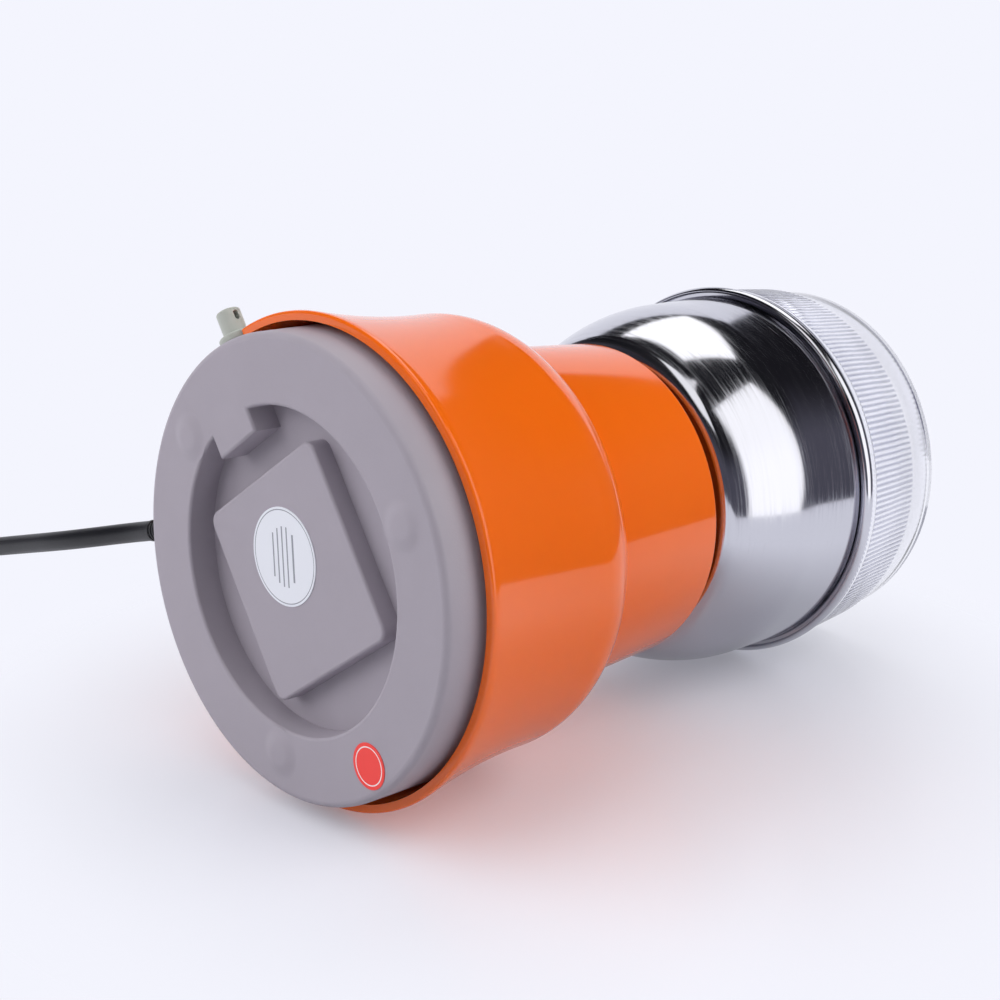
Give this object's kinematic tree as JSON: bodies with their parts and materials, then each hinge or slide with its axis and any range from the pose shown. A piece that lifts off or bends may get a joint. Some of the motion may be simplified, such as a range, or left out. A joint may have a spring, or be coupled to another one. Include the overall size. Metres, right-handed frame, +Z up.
{
  "type": "electric coffee grinder",
  "caption": "Blade coffee grinder: flared housing with push button, steel bowl with spinning blade, clear lift-off lid, motor inside, mains cord with plug.",
  "frame": {"origin": "on the axis, in the plane that the feet stand on", "axes": "+Z up along the axis towards the lid, -Y towards the push button"},
  "size_m": [0.3109, 0.1306, 0.1726],
  "materials": {
    "base_plastic": "fine matte moulded",
    "orange_shell": "glossy moulded",
    "bowl_steel": "circular brushed",
    "lid_clear": "clear moulded",
    "button_plastic": "translucent moulded",
    "label_paper": "satin film",
    "sticker_paper": "satin film",
    "screw_steel": "zinc plated",
    "spring_steel": "drawn wire",
    "switch_plastic": "moulded",
    "switch_red": "moulded",
    "blade_steel": "ground",
    "bush_brass": "turned",
    "soft_rubber": "moulded",
    "motor_iron": "stacked laminations",
    "bracket_steel": "pressed",
    "winding_copper": "enamelled wire",
    "fan_plastic": "moulded",
    "holder_plastic": "moulded",
    "carbon": "pressed carbon",
    "clamp_plastic": "moulded",
    "cord_black": "smooth sheath",
    "tie_black": "strap",
    "pin_brass": "nickel plated"
  },
  "bodies": {
    "housing": {"base_cover": "base_plastic", "foot_pads": "base_plastic", "base_screws": "screw_steel", "rating_label": "label_paper", "inspection_sticker": "sticker_paper", "housing_shell": "orange_shell", "button_guide": "button_plastic", "button_spring": "spring_steel", "switch_body": "switch_plastic", "grinding_bowl": "bowl_steel", "bowl_gasket": "soft_rubber", "shaft_bush": "bush_brass", "bush_nut": "screw_steel", "shaft_seal": "soft_rubber", "motor_top_bracket": "bracket_steel", "motor_mounts": "soft_rubber", "mount_screws": "screw_steel", "top_bearing": "bush_brass", "bottom_bearing": "bush_brass", "motor_bottom_bracket": "bracket_steel", "motor_bolts": "screw_steel", "stator_core": "motor_iron", "field_coils": "winding_copper", "brush_holders": "holder_plastic", "carbon_brushes": "carbon", "brush_springs": "spring_steel", "cord_gland": "cord_black", "cord_clamp": "clamp_plastic", "clamp_screws": "screw_steel", "cord_run": "cord_black", "cord_coil": "cord_black", "cord_tail": "cord_black", "cord_tie": "tie_black", "plug_body": "cord_black", "plug_pins": "pin_brass"},
    "rotor": {"motor_shaft": "blade_steel", "rotor_core": "motor_iron", "rotor_windings": "winding_copper", "commutator": "winding_copper", "cooling_fan": "fan_plastic", "blade": "blade_steel", "blade_nut": "blade_steel"},
    "button": {"button_plunger": "button_plastic"},
    "switch_plunger": {"switch_plunger": "switch_red"},
    "lid": {"lid": "lid_clear"}
  },
  "joints": [
    {"name": "rotor_spin", "type": "hinge", "parent": "housing", "child": "rotor", "pos_m": [0, 0, 0.074], "axis": [0, 0, 1], "continuous": true},
    {"name": "button_press", "type": "slide", "parent": "housing", "child": "button", "axis": [0, 1, 0], "range_m": [0, 0.003], "stiffness_N_per_m": 600, "springref_m": -0.001, "deforming": ["button_spring"]},
    {"name": "switch_press", "type": "slide", "parent": "housing", "child": "switch_plunger", "axis": [0, 1, 0], "range_m": [0, 0.003]},
    {"name": "lid_lift", "type": "slide", "parent": "housing", "child": "lid", "axis": [0, 0, 1], "range_m": [0, 0.06]}
  ],
  "couplings": [
    {"joint": "switch_press", "follows": "button_press", "ratio": 1}
  ]
}
